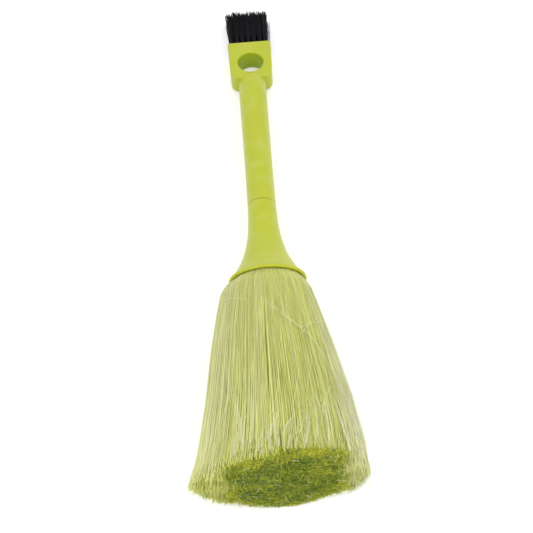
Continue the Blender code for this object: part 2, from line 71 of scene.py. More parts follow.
bellLow, bellHigh = cornersOf(placesOn(dusterTurn.inverted(), "bell"))
rimMiddle = Vector(((bellLow.x + bellHigh.x) / 2, (bellLow.y + bellHigh.y) / 2, bellLow.z))
dusterPlace = Matrix.Translation(dusterTurn @ rimMiddle) @ dusterTurn.to_4x4()
intoDuster = dusterPlace.inverted()

hankNodes = [name for name in frame["nodes"] if name.startswith("fibre_hank_")]
tuftNodes = sorted(name for name in frame["nodes"] if name.startswith("bristle_tuft_"))
fibreEnd = cornersOf(placesOn(intoDuster, *hankNodes))[0].z    # heights over the rim
glueEnd = cornersOf(placesOn(intoDuster, "glue_bed"))[0].z
headEnd = cornersOf(placesOn(intoDuster, "handle"))[1].z


# small tools for node trees

class Wire:
    # one output of a node, so that sums with it can be written plainly
    def __init__(self, socket):
        self.socket = socket
        self.tree = socket.id_data

    def __add__(self, other):
        return maths("ADD", self, other)

    def __sub__(self, other):
        return maths("SUBTRACT", self, other)

    def __rsub__(self, other):
        return maths("SUBTRACT", other, self)

    def __mul__(self, other):
        return maths("MULTIPLY", self, other)

    def __truediv__(self, other):
        return maths("DIVIDE", self, other)

    def __pow__(self, other):
        return maths("POWER", self, other)

    def __gt__(self, other):
        return maths("GREATER_THAN", self, other)

    def __lt__(self, other):
        return maths("LESS_THAN", self, other)


def treeOf(values):
    return next(value.tree for value in values if isinstance(value, Wire))


def openSocket(sockets, name):
    if isinstance(name, int):
        return sockets[name]
    return next(s for s in sockets if s.enabled and s.name == name)


def feed(node, inputs):
    for name, value in inputs.items():
        socket = openSocket(node.inputs, name)
        if isinstance(value, Wire):
            node.id_data.links.new(value.socket, socket)
        else:
            socket.default_value = value


def addNode(tree, kind, inputs=None, **settings):
    node = tree.nodes.new(kind)
    for key, value in settings.items():
        setattr(node, key, value)
    feed(node, inputs or {})
    return node


def newWire(tree, kind, inputs=None, output=0, **settings):
    return Wire(openSocket(addNode(tree, kind, inputs, **settings).outputs, output))


def maths(operation, *values, **settings):
    return newWire(treeOf(values), "ShaderNodeMath", dict(enumerate(values)), operation=operation, **settings)


def vectorMaths(operation, *values, output=0):
    return newWire(treeOf(values), "ShaderNodeVectorMath", dict(enumerate(values)), output,
                   operation=operation)


def combine(*values):
    return newWire(treeOf(values), "ShaderNodeCombineXYZ", dict(enumerate(values)))


def splitUp(value, kind="ShaderNodeSeparateXYZ"):
    return [Wire(socket) for socket in addNode(value.tree, kind, {0: value}).outputs][:3]


def between(share, low, high):
    # low at share 0, high at share 1
    return share * (high - low) + low


def stepOf(value, low, high, least=0.0, most=1.0, kind="LINEAR"):
    # least where the value is low, most where it is high
    return newWire(value.tree, "ShaderNodeMapRange",
                   {"Value": value, "From Min": low, "From Max": high, "To Min": least, "To Max": most},
                   interpolation_type=kind)


def smoothStep(value, low, high):
    return stepOf(value, low, high, kind="SMOOTHSTEP")


def curveOf(value, points):
    # a smooth curve through (share, value) points
    node = addNode(value.tree, "ShaderNodeFloatCurve", {"Value": value})
    line = node.mapping.curves[0].points
    while len(line) < len(points):
        line.new(0.5, 0.5)
    for spot, point in zip(line, points):
        spot.location = point
    node.mapping.update()
    return Wire(node.outputs[0])


def noiseAt(place, scale, detail=1.0):
    # three numbers from -1 to 1 that vary smoothly from place to place
    colour = newWire(place.tree, "ShaderNodeTexNoise", {"Vector": place, "Scale": scale, "Detail": detail},
                     "Color", noise_dimensions="3D")
    return splitUp(vectorMaths("MULTIPLY", vectorMaths("SUBTRACT", colour, (0.5, 0.5, 0.5)), (2, 2, 2)))


def addObject(name, data):
    made = bpy.data.objects.new(name, data)
    bpy.context.scene.collection.objects.link(made)
    return made


# strands: one tree for the dusting fibres, one for the fuzz on their cut end, one for the brush's bristles

ringTone = 0.004   # how far the tone changes round a strand

# the map's width is shared out: a third each for the side fringes, the outside and the cut end
outsideKind, endKind = 1, 2
kindsOnMap = 3
toneWidth = 0.94   # width and left margin of the tones in their third
toneMargin = 0.01


def mapPlace(tone, kind):
    return (tone * toneWidth + (kind + toneMargin)) / kindsOnMap


def labelOf(key):
    # "rootRadius" is the input "Root Radius"
    return re.sub("([A-Z])", r" \1", key).title()


def startTree(name, values):
    # a tree with one named input for each value
    tree = bpy.data.node_groups.new(name, "GeometryNodeTree")
    kinds = {int: "Int", float: "Float", tuple: "Vector"}
    for key, value in values.items():
        tree.interface.new_socket(labelOf(key), in_out="INPUT",
                                  socket_type="NodeSocket" + kinds.get(type(value), "Material"))
    tree.interface.new_socket("Geometry", in_out="OUTPUT", socket_type="NodeSocketGeometry")
    entry = tree.nodes.new("NodeGroupInput")
    return tree, {key: Wire(socket) for key, socket in zip(values, entry.outputs)}


def storeValue(geometry, name, value, kind="FLOAT", domain="POINT"):
    return newWire(geometry.tree, "GeometryNodeStoreNamedAttribute",
                   {"Geometry": geometry, "Name": name, "Value": value}, data_type=kind, domain=domain)


def storedValue(tree, name):
    return newWire(tree, "GeometryNodeInputNamedAttribute", {"Name": name}, "Attribute", data_type="FLOAT")


def startStrands(tree, given):
    # many straight curves of length 1, with each strand's number and each point's share along it
    line = newWire(tree, "GeometryNodeCurvePrimitiveLine", {"End": (0, 0, 1)})
    line = newWire(tree, "GeometryNodeResampleCurve", {"Curve": line, "Count": given["points"]})
    dots = newWire(tree, "GeometryNodePoints", {"Count": given["strands"]})
    placed = newWire(tree, "GeometryNodeInstanceOnPoints", {"Points": dots, "Instance": line})
    strands = newWire(tree, "GeometryNodeRealizeInstances", {"Geometry": placed})
    number = newWire(tree, "GeometryNodeFieldOnDomain", {"Value": newWire(tree, "GeometryNodeInputIndex")},
                     data_type="INT", domain="CURVE")
    share = newWire(tree, "GeometryNodeSplineParameter", output="Factor")
    return storeValue(strands, "strandShare", share), number, storedValue(tree, "strandShare")


def chance(number, seed, low, high):
    # one random number for each strand
    return newWire(number.tree, "FunctionNodeRandomValue",
                   {"Min": low, "Max": high, "ID": number, "Seed": seed}, "Value", data_type="FLOAT")


def finishStrands(given, strands, place, radius, tone, lowest=0.0):
    # shapes the strands, puts them on the duster, keeps them above the floor and gives them thickness
    tree = strands.tree
    shaped = newWire(tree, "GeometryNodeSetPosition", {"Geometry": strands, "Position": combine(*place)})
    moved = newWire(tree, "GeometryNodeTransform", {"Geometry": storeValue(shaped, "strandTone", tone),
                                                    "Translation": given["place"], "Rotation": given["turn"]})
    x, y, z = splitUp(newWire(tree, "GeometryNodeInputPosition"))
    rested = newWire(tree, "GeometryNodeSetPosition",
                     {"Geometry": moved, "Position": combine(x, y, maths("MAXIMUM", z, given["floor"]))})
    sized = newWire(tree, "GeometryNodeSetCurveRadius", {"Curve": rested, "Radius": radius})
    ring = newWire(tree, "GeometryNodeCurvePrimitiveCircle", {"Resolution": given["sides"], "Radius": 1.0})
    ring = storeValue(ring, "ringShare", newWire(tree, "GeometryNodeSplineParameter", output="Factor"))
    last = newWire(tree, "GeometryNodeCurveToMesh",
                   {"Curve": sized, "Profile Curve": ring, "Scale": newWire(tree, "GeometryNodeInputRadius"),
                    "Fill Caps": True})
    stored = ("strandTone", "ringShare", "strandShare")
    across, around, upwards = [storedValue(tree, name) for name in stored]
    spot = combine(around * ringTone + across, maths("MAXIMUM", upwards, lowest), 0)
    last = storeValue(last, strandMap, spot, "FLOAT2", "CORNER")
    for name in stored:
        last = newWire(tree, "GeometryNodeRemoveAttribute", {"Geometry": last, "Name": name})
    last = newWire(tree, "GeometryNodeRealizeInstances", {"Geometry": last})
    last = newWire(tree, "GeometryNodeSetMaterial", {"Geometry": last, "Material": given["material"]})
    addNode(tree, "NodeGroupOutput", {0: last})


def placing(sides, floor, material):
    return {"sides": sides, "place": tuple(dusterPlace.translation), "turn": tuple(dusterTurn.to_euler()),
            "floor": floor, "material": material}


def growPiece(name, tree, values):
    # runs a tree on an empty mesh and keeps its result as a plain mesh
    holder = addObject(name + "Guide", bpy.data.meshes.new(name + "Guide"))
    modifier = holder.modifiers.new("Strands", "NODES")
    modifier.node_group = tree
    named = {labelOf(key): value for key, value in values.items()}
    for item in tree.interface.items_tree:
        if item.in_out == "INPUT":
            modifier[item.identifier] = named[item.name]
    bpy.context.view_layer.update()
    grown = holder.evaluated_get(bpy.context.evaluated_depsgraph_get())
    mesh = bpy.data.meshes.new_from_object(grown)
    mesh.name = name
    bpy.data.objects.remove(holder)
    for layer in mesh.uv_layers:
        layer.active = layer.name == strandMap
    mesh.shade_smooth()
    print(name, len(mesh.polygons), "faces")
    return addObject(name, mesh)


def keepPiece(piece, slot, *replaced):
    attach(piece, dusterBody)
    if replaced:
        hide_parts(*replaced)


# dusting fibres

hank = {
    "strands": 2900,           # in each hank round the core
    "coreStrands": 2600,
    "corePoints": 6,           # of a strand in the core
    "coreShare": 0.45,         # radius of the core hank, as a share of the bundle's
    "rootOut": 0.3 * mm,       # how far out of the glue the strands start
    "sides": 3,                # of a strand
}

fibre = {
    "rootRadius": 0.09 * mm,
    "tipRadius": 0.155 * mm,
    "crowding": 0.66,          # below 1 the strands stand closer together at the outside
    "ragged": 2.0 * mm,        # how much strands differ in length
    "shortLock": 6.0 * mm,     # how much sooner the shortest locks end
    "unevenFringe": 4.5 * mm,  # how much the locks of the side fringes differ in length
    "sideDroop": 4.0 * mm,     # how far the fringes at the sides hang towards the floor
    "lateDroop": 4.0,          # above 1 they hang mostly near their tips
    "lockScale": 13.0,         # locks across half the bundle
    "lockPull": 0.055,         # how far a lock's strands draw together
    "lateLocks": 2.0,          # above 1 they do so mostly near their tips
    "wander": 0.05,            # how far a strand drifts, as a share of the bundle's half size
    "wave": 0.012,             # how far neighbours wave together, a share as well
    "waveScale": 4.0,          # waves across half the bundle
    "waveAlong": 7.0,          # how soon the waves change along a strand
    "outerLimit": 1.02,        # how far out strands may drift
    "frizz": 1.1 * mm,         # how far the last few millimetres curl
    "curlFrom": 0.955,         # share of the length where they start
    "curlUp": 0.6,             # how much of that they curl back towards the root
    "partingAt": -0.1,         # place of the parting across the front, as a share of the half width
    "partingPush": 0.004,      # how far strands are pushed aside there
    "partingWidth": 0.12,      # how far to its sides, as a share of the half width
    "seed": 11,
}

# where each thing begins and where it is full: depths run from -1 in front to 1 behind
fibreZone = {
    "frontCut": (0.25, -0.35),            # depths between which the back's cut turns into the front's
    "leftFringe": (-0.5, -0.72),          # places across the bundle
    "rightFringe": (0.64, 0.84),
    "shortLock": (0.7, 1.0),              # a lock's random number
    "shortReach": (0.86, 0.94),           # and how far out it stands
    "partingTop": (-22 * mm, -45 * mm),   # heights over the rim
    "partingEnd": (-105 * mm, -80 * mm),
    "partingDepth": (-0.75, -0.92),
}

fibreTone = {
    "middle": 0.40,            # 0 has the shade's colour and 1 the light one: painted shade and painted highlight, mixed with tone that differs at random
    "own": 0.17,               # how much strands differ
    "lock": 0.16,              # how much locks differ
    "outside": 0.93,           # from this far out a strand belongs to the outside
    "inside": -0.26,           # painted shade: how much darker strands are below the surface
    "surface": 0.42,           # painted light: how much lighter than that they are at it
    "surfaceFrom": (0.88, 1.01),
    "longLock": 0.3,           # locks of the side fringes numbered below this end lower
    "fringeChance": (0.1, 0.9),   # how far into a side fringe strands take its colours, by chance
}

driftOften, driftSeldom = 0.5, 1.8   # a strand's own drift: often a little, seldom a lot

# height over the rim and half the bundle's size there, in millimetres
leftOutline = (
    (28, 6.4), (20, 8.4), (10, 12.0), (3, 16.3), (0, 18.6), (-2, 21.4), (-4, 23.4), (-6.3, 24.6),
    (-12.6, 26.2), (-27.5, 28.8), (-51.5, 32.8), (-79, 36.2), (-97, 39.6), (-114, 44.0), (-124, 46.0))
rightOutline = (
    (28, 6.4), (20, 8.4), (10, 12.0), (3, 16.3), (0, 18.6), (-2, 19.8), (-5.5, 21.4), (-8.3, 22.8),
    (-17.4, 24.8), (-27.8, 27.2), (-48, 31.8), (-67, 35.8), (-86, 38.8), (-104, 41.0), (-114, 40.8),
    (-124, 40.0))
depthOutline = (
    (28, 5.6), (20, 7.2), (10, 9.2), (3, 11.6), (0, 12.4), (-3, 13.6), (-8, 15.2), (-15, 16.4), (-30, 18.2),
    (-50, 20.4), (-70, 22.6), (-90, 25.0), (-105, 27.0), (-118, 28.6), (-124, 29.0))

# heights over the rim of a strand's points between its root and its tip, in millimetres
strandStops = (6, 0, -4, -8, -18, -42, -74, -100, -112, -116.5)

# place across the bundle, from left to right, and how much longer its front and back strands are there
frontCut = ((-1, -1.0), (-0.75, 3.5), (-0.58, 1.8), (-0.35, 1.4), (-0.15, 1.2), (0.03, -2.6), (0.4, -2.6),
            (0.6, -3.4), (0.7, -3.0), (0.82, -0.5), (1, 1.0))
backCut = ((-1, -3.0), (-0.6, -2.6), (-0.3, -1.5), (0, -0.9), (0.25, -1.4), (0.5, -2.9), (0.75, -2.9),
           (0.9, -1.6), (1, -1.5))


def tableCurve(value, table):
    # a smooth curve through a table of places and millimetres, in metres
    first, last = table[0][0], table[-1][0]
    least, most = min(amount for _, amount in table), max(amount for _, amount in table)
    points = [((spot - first) / (last - first), (amount - least) / (most - least)) for spot, amount in table]
    return between(curveOf(stepOf(value, first, last), points), least * mm, most * mm)


def tableValue(table, spot):
    # the same table read in a straight line between its points
    for (before, low), (after, high) in zip(table, table[1:]):
        if before >= spot >= after:
            return (low + (high - low) * (spot - before) / (after - before)) * mm
    return table[-1][1] * mm


def discSpot(number, given):
    # an even spread over a part of a disc of radius 1
    goldenShare = (math.sqrt(5) - 1) / 2
    angle = maths("FRACT", number * goldenShare) * given["sectorSweep"] + given["sectorStart"]
    ranked = ((number + 0.5) / given["strands"]) ** given["crowding"]
    inner, outer = given["innerShare"], given["outerShare"]
    reach = maths("SQRT", between(ranked, inner * inner, outer * outer))
    return reach * maths("COSINE", angle), reach * maths("SINE", angle), reach


def farFrom(u, v):
    return maths("SQRT", u * u + v * v)


def insideDisc(u, v, limit):
    # draws a place back to the limit where it has left the disc
    nearMiddle = 0.01
    share = maths("MINIMUM", 1.0, limit / maths("MAXIMUM", farFrom(u, v), nearMiddle))
    return u * share, v * share


def cutExtra(u, v):
    # how much longer than the middle the bundle is cut at a place on the disc
    isFront = smoothStep(v, *fibreZone["frontCut"])
    return between(isFront, tableCurve(u, backCut), tableCurve(u, frontCut))


def bundleSpot(u, v, height, droop):
    # the place inside the bundle's outline at a height over the rim
    level = height / mm
    width = between(u > 0.0, tableCurve(level, leftOutline), tableCurve(level, rightOutline))
    return u * width, v * tableCurve(level, depthOutline) + droop


def sideShare(u):
    return maths("MAXIMUM", smoothStep(u, *fibreZone["leftFringe"]), smoothStep(u, *fibreZone["rightFringe"]))


def ownDrift(number, seed):
    # a random number for each strand that is seldom large
    even = chance(number, seed, -1.0, 1.0)
    return even ** 3.0 * driftSeldom + even * driftOften


def makeFibreTree(values, rootHeight, length):
    tree, given = startTree("fibreStrands", values)
    strands, number, share = startStrands(tree, given)
    seed = given["seed"]
    u, v, reach = discSpot(number, given)
    steps = [0.0] + [(rootHeight - stop * mm) / length for stop in strandStops] + [1.0]
    closer = curveOf(share, [(i / (len(steps) - 1), step) for i, step in enumerate(steps)])

    # locks: strands draw together towards the middle of their cell near the tip
    cell = addNode(tree, "ShaderNodeTexVoronoi", {"Vector": combine(u, v, 0), "Scale": given["lockScale"]},
                   voronoi_dimensions="2D", feature="F1")
    cellU, cellV, _ = splitUp(Wire(cell.outputs["Position"]))
    lockTone, lockShort, lockFringe = splitUp(Wire(cell.outputs["Color"]), "FunctionNodeSeparateColor")
    pull = given["lockPull"] * closer ** given["lateLocks"]
    lockedU, lockedV = between(pull, u, cellU), between(pull, v, cellV)

    # length: ragged, cut on a slant, with a few shorter locks at the outside and uneven side fringes
    side = sideShare(u)
    early = smoothStep(lockShort, *fibreZone["shortLock"]) * smoothStep(reach, *fibreZone["shortReach"])
    missing = chance(number, seed, 0.0, 1.0)
    loss = early * given["shortLock"] + missing * missing * given["ragged"]
    loss = side * (lockFringe - fibreTone["longLock"]) * given["unevenFringe"] + loss
    fall = closer * (length - (loss - cutExtra(u, v)))
    height = rootHeight - fall

    # slow drift and waves
    wave = noiseAt(combine(u, v, fall * given["waveAlong"]), given["waveScale"])
    drift, waving = given["wander"] * closer, given["wave"] * closer
    lastU = wave[0] * waving + (ownDrift(number, seed + 1) * drift + lockedU)
    lastV = wave[1] * waving + (ownDrift(number, seed + 2) * drift + lockedV)
    lastU, lastV = insideDisc(lastU, lastV, given["outerLimit"])

    # a parting down the front, open between two heights
    aside = lastU - given["partingAt"]
    near = smoothStep(maths("ABSOLUTE", aside), given["partingWidth"], 0.0)
    opened = smoothStep(height, *fibreZone["partingTop"]) * smoothStep(height, *fibreZone["partingEnd"])
    opened = opened * smoothStep(lastV, *fibreZone["partingDepth"])
    lastU = maths("SIGN", aside) * (near * opened * given["partingPush"]) + lastU
    droop = side * given["sideDroop"] * closer ** given["lateDroop"]
    x, y = bundleSpot(lastU, lastV, height, droop)

    # curled tips
    curl = smoothStep(closer, given["curlFrom"], 1.0) * given["frizz"]
    curlX, curlY, curlZ = [chance(number, seed + more, -1.0, 1.0) for more in (4, 5, 6)]
    place = (curlX * curl + x, curlY * curl + y,
             maths("ABSOLUTE", curlZ) * (curl * given["curlUp"]) + height)

    # tone, with painted shade below the surface and painted light at it, and kind
    own = chance(number, seed + 3, -fibreTone["own"], fibreTone["own"])
    paintedDepthShading = smoothStep(farFrom(lastU, lastV), *fibreTone["surfaceFrom"]) * fibreTone["surface"]
    paintedDepthShading = (paintedDepthShading + fibreTone["inside"]) * (reach > fibreTone["outside"])
    tone = lockTone * fibreTone["lock"] + (own + fibreTone["middle"])
    tone = maths("ADD", tone, paintedDepthShading, use_clamp=True)
    isMiddle = side < chance(number, seed + 7, *fibreTone["fringeChance"])
    kind = isMiddle * (reach < fibreTone["outside"]) + isMiddle
    radius = between(closer, given["rootRadius"], given["tipRadius"])
    finishStrands(given, strands, place, radius, mapPlace(tone, kind))
    return tree


# short curled bits lying on the cut end

fuzz = {
    "strands": 6600,
    "points": 5,               # of a bit
    "length": 3.7 * mm,
    "depth": 1.2 * mm,         # of the layer they lie in
    "curl": 1.0 * mm,
    "curlScale": 260.0,        # curls in a metre
    "radius": 0.115 * mm,
    "seed": 41,
}

fuzzZone = {
    "levels": (-0.96, 0.96),       # from the front to the back of the cut end
    "left": (-0.40, -0.63),        # the left edge at the front and further back
    "leftFrom": (-0.9, 0.1),       # and between which levels it moves out
    "right": (0.70, 0.77),
    "rightFrom": (-0.9, 0.4),
    "edgeWave": 0.16,              # how unevenly the edges run
    "edgeWaveScale": 3.2,
    "stray": (-0.07, 0.1),
    "lift": (-0.35, 0.5),          # how steeply a bit stands
    "shorter": (0.4, 1.0),         # shortest and longest bit, as shares of the length
    "curlStep": 0.37,              # how differently neighbours in number curl
    "mapTop": 0.995,               # the bits take the colours of the strands' tips
}

fuzzTone = {
    "middle": 0.39,                # 0 is the darkest painted shade of the cut end, then come green and yellow, and 1 sparkles
    "own": 0.52,                   # how much bits differ, and how much patches of them do
    "patch": 0.7,
    "patchScale": 3.0,
    "edge": 0.32,                  # how much lighter the bits at the front and side edges are
    "frontEdge": (-0.5, -0.82),
    "leftEdge": (-0.44, -0.54),
    "rightEdge": (0.62, 0.72),
    "back": 0.2,                   # and those at the back
    "backEdge": (0.6, 0.95),
    "most": 0.9,                   # of a bit that doesn't sparkle
    "plain": 0.988,                # share of the bits like that
}

# steps that spread numbered bits evenly over an area
stepAcross, stepDeep = 0.7548777, 0.5698403


def makeFuzzTree(values, rootHeight, length):
    tree, given = startTree("cutEndFuzz", values)
    bits, number, share = startStrands(tree, given)
    seed = given["seed"]
    level = between(maths("FRACT", number * stepDeep), *fuzzZone["levels"])
    left = between(smoothStep(level, *fuzzZone["leftFrom"]), *fuzzZone["left"])
    right = between(smoothStep(level, *fuzzZone["rightFrom"]), *fuzzZone["right"])
    u = between(maths("FRACT", number * stepAcross), left, right)
    v = level * maths("SQRT", 1.0 - u * u)
    uneven = noiseAt(combine(0.3, v, 0), fuzzZone["edgeWaveScale"], 2.0)[0] * fuzzZone["edgeWave"] + 1.0
    u = u * (uneven + chance(number, seed + 6, *fuzzZone["stray"]))
    height = rootHeight - (cutExtra(u, v) + length)
    height = chance(number, seed, 0.0, 1.0) * given["depth"] + height
    x, y = bundleSpot(u, v, height, 0.0)

    # each bit lies its own way and curls
    turn = chance(number, seed + 1, 0.0, 2 * math.pi)
    out = (share - 0.5) * (given["length"] * chance(number, seed + 4, *fuzzZone["shorter"]))
    x = maths("COSINE", turn) * out + x
    y = maths("SINE", turn) * out + y
    z = chance(number, seed + 2, *fuzzZone["lift"]) * out + height
    spot = combine(x * given["curlScale"], y * given["curlScale"], number * fuzzZone["curlStep"])
    bend = noiseAt(spot, 1.0)
    place = (bend[0] * given["curl"] + x, bend[1] * given["curl"] + y, bend[2] * (given["curl"] * 0.5) + z)

    # painted shade on the cut end: patches of darker and yellower fuzz, lighter edges and a few pale bits
    patch = noiseAt(combine(u, v, 0), fuzzTone["patchScale"], 2.0)[0]
    own = chance(number, seed + 3, -fuzzTone["own"], fuzzTone["own"])
    sides = maths("MAXIMUM", smoothStep(u, *fuzzTone["leftEdge"]), smoothStep(u, *fuzzTone["rightEdge"]))
    edge = maths("MAXIMUM", smoothStep(level, *fuzzTone["frontEdge"]), sides)
    lighter = edge * fuzzTone["edge"] + smoothStep(level, *fuzzTone["backEdge"]) * fuzzTone["back"]
    tone = patch * fuzzTone["patch"] + (lighter + fuzzTone["middle"]) + own
    tone = maths("MINIMUM", maths("MAXIMUM", tone, 0.0), fuzzTone["most"])
    tone = maths("MAXIMUM", tone, chance(number, seed + 5, 0.0, 1.0) > fuzzTone["plain"])
    finishStrands(given, bits, place, given["radius"], mapPlace(tone, endKind), fuzzZone["mapTop"])
    return tree


# the fibres' material

# strand colours from shade over body to light are partly painted shade and painted highlights on the glossy
# strands, partly tone that differs at random
fibreColour = {
    "shade": (0.78, 0.835, 0.07, 1),
    "body": (0.865, 0.895, 0.27, 1),
    "light": (0.92, 0.935, 0.54, 1),
    # paler colour of the side fringes, also used as painted light towards the right
    "fringe": (1.0, 1.0, 0.86, 1),
    # painted shade: the darker, saturated colour of inner strands seen in the gaps
    "inner": (0.76, 0.83, 0.06, 1),
    "fringeTip": (0.93, 0.95, 0.22, 1),
    # the cut end's colours, darkened as painted shade among the packed tips
    "endShade": (0.10, 0.17, 0.02, 1),
    "end": (0.37, 0.49, 0.04, 1),
    "endYellow": (0.82, 0.81, 0.07, 1),
    "sparkle": (0.95, 0.97, 0.75, 1),
}

fibreLook = {
    "inner": 0.5,              # how much the inner strands take of the painted shade colour seen in the gaps
    "right": (19 * mm, 38 * mm),   # places across between which painted light makes the fibres paler towards the right
    "rightPaintedLight": 0.2,          # how much paler the painted light makes them there
    "fringePale": 0.14,        # how much paler the side fringes are everywhere
    "fringeRightPaintedLight": 0.42,   # and how much more painted light the side fringes get at the right
    "low": (0.72, 0.95),       # shares of the length between which the fringes grow yellower
    "lowYellow": 0.3,
    "tip": (0.972, 0.99),      # and between which all strands take the colours of the cut end, with its painted shade
    "roughness": (0.5, 0.38),  # of the darkest and the lightest strands
    "shine": 0.35,
}


def rampOf(value, *stops):
    node = addNode(value.tree, "ShaderNodeValToRGB", {"Fac": value})
    line = node.color_ramp.elements
    while len(line) < len(stops):
        line.new(0.5)
    for element, (position, colour) in zip(line, stops):
        element.position = position
        element.color = colour
    return Wire(node.outputs[0])


def mixColour(factor, first, second):
    return newWire(factor.tree, "ShaderNodeMix", {"Factor": factor, "A": first, "B": second}, "Result",
                   data_type="RGBA", blend_type="MIX")


def startMaterial(name):
    material = bpy.data.materials.new(name)
    material.use_nodes = True
    tree = material.node_tree
    return material, tree, tree.nodes["Principled BSDF"]


def mapOf(tree):
    # place on the strands' map: across and upwards
    return splitUp(newWire(tree, "ShaderNodeUVMap", uv_map=strandMap))[:2]


def objectPlace(tree):
    return newWire(tree, "ShaderNodeTexCoord", output="Object")


def makeFibreMaterial():
    material, tree, shader = startMaterial("dustingFibre")
    mapAcross, mapUp = mapOf(tree)
    kinds = mapAcross * kindsOnMap
    tone = maths("FRACT", kinds)
    colour, look = fibreColour, fibreLook
    body = rampOf(tone, (0.0, colour["shade"]), (0.5, colour["body"]), (1.0, colour["light"]))
    # the colours strands take at their tips: painted shade where the tips pack together at the cut end,
    # darkest at tone 0
    ends = rampOf(tone, (0.0, colour["endShade"]), (0.5, colour["end"]), (0.85, colour["endYellow"]),
                  (0.9, colour["endYellow"]), (0.93, colour["sparkle"]))
    fringe = rampOf(tone, (0.0, colour["end"]), (0.3, colour["endYellow"]), (0.7, colour["fringeTip"]))
    isOutside, isEnd = kinds > outsideKind, kinds > endKind
    # painted shade: inner strands, seen in the gaps between the outer ones, take a darker, saturated colour
    body = mixColour(isEnd * look["inner"], body, colour["inner"])
    # painted light from the right: the fibres grow paler towards the right, the side fringes more; the side
    # fringes are also paler everywhere
    paintedRightLight = stepOf(splitUp(objectPlace(tree))[0], *look["right"])
    fringePale = paintedRightLight * look["fringeRightPaintedLight"] + look["fringePale"]
    body = mixColour(between(isOutside, fringePale, paintedRightLight * look["rightPaintedLight"]), body, colour["fringe"])
    low = stepOf(mapUp, *look["low"], most=look["lowYellow"])
    body = mixColour(between(isOutside, low, 0.0), body, colour["fringeTip"])
    tips = mixColour(isOutside, body, mixColour(isEnd, fringe, ends))
    feed(shader, {"Base Color": mixColour(stepOf(mapUp, *look["tip"]), body, tips),
                  "Roughness": between(tone, *look["roughness"]), "Specular IOR Level": look["shine"]})
    return material


# lines of fibres and bristles drawn one by one

tubeSides = 4
tubeTone = 0.002   # how far the tone changes from side to side


def frontSurface(across, height):
    # how far in front of the axis the bundle's surface lies
    outline = leftOutline if across < 0 else rightOutline
    share = across * mm / tableValue(outline, height)
    return tableValue(depthOutline, height) * math.sqrt(max(0.0, 1 - share * share))


def smoothLine(points, steps):
    # a rounder line through the same points
    line = []
    padded = [points[0]] + list(points) + [points[-1]]
    for p0, p1, p2, p3 in zip(padded, padded[1:], padded[2:], padded[3:]):
        for step in range(steps):
            t = step / steps
            line.append((p1 * 2 + (p2 - p0) * t + (p0 * 2 - p1 * 5 + p2 * 4 - p3) * t ** 2
                         + (p1 * 3 - p0 - p2 * 3 + p3) * t ** 3) / 2)
    return line + [points[-1]]


def makeTubes(name, lines, radius, tone, material):
    # thin closed tubes along lines given in the duster's own axes
    corners, faces = [], []
    for line in lines:
        start, end = len(corners), len(line) - 1
        for i, point in enumerate(line):
            way = (line[min(i + 1, end)] - line[max(i - 1, 0)]).normalized()
            across = way.orthogonal().normalized()
            other = way.cross(across)
            for k in range(tubeSides):
                angle = 2 * math.pi * k / tubeSides
                out = across * math.cos(angle) + other * math.sin(angle)
                corners.append(dusterPlace @ (point + out * radius))
        for i in range(end):
            here, then = start + i * tubeSides, start + (i + 1) * tubeSides
            for k in range(tubeSides):
                beside = (k + 1) % tubeSides
                faces.append((here + k, here + beside, then + beside, then + k))
        faces.append(tuple(start + k for k in reversed(range(tubeSides))))
        faces.append(tuple(start + end * tubeSides + k for k in range(tubeSides)))
    mesh = bpy.data.meshes.new(name)
    mesh.from_pydata(corners, [], faces)
    layer = mesh.uv_layers.new(name=strandMap)
    for loop in mesh.loops:
        layer.data[loop.index].uv = (tone + tubeTone * (loop.vertex_index % tubeSides), 0.5)
    mesh.materials.append(material)
    mesh.shade_smooth()
    return addObject(name, mesh)


# loose fibres on the front: place across and height over the rim, in millimetres
looseFibres = (
    ((-20.5, -6.0), (-4.2, -24.2), (6.8, -35.8), (17.6, -45.3), (24.6, -57.3)),
    ((27.0, -24.8), (20.6, -36.8), (13.8, -48.5)),
    ((26.6, -33.5), (20.5, -38.5), (14.8, -43.1)),
    ((11.8, -56.4), (14.1, -59.4), (16.4, -61.7)),
    ((-8.1, -17.2), (9.7, -37.7), (22.5, -53.4), (25.4, -76.4)),
    ((3.5, -15.5), (6.0, -25.1), (6.2, -37.1)),
    ((-11.8, -22.3), (-18.6, -18.7), (-23.4, -16.3)),
    ((12.0, -70.0), (9.0, -84.0), (6.5, -96.0)),
    ((16.5, -72.0), (18.5, -86.0), (24.0, -99.0)),
    ((19.0, -62.0), (15.0, -80.0), (13.5, -101.0)),
    ((2.5, -66.0), (0.5, -82.0), (-3.5, -97.0)),
    ((26.5, -78.0), (22.0, -90.0), (19.5, -104.0)),
    ((-18.0, -52.0), (-15.0, -70.0), (-14.5, -88.0)),
    ((-24.0, -60.0), (-22.5, -76.0), (-27.0, -93.0)),
)

loose = {
    "radius": 0.1 * mm,
    "inFront": 2.1 * mm,
    "tone": 0.31,              # place across the strands' map
    "smoothing": 8,
}

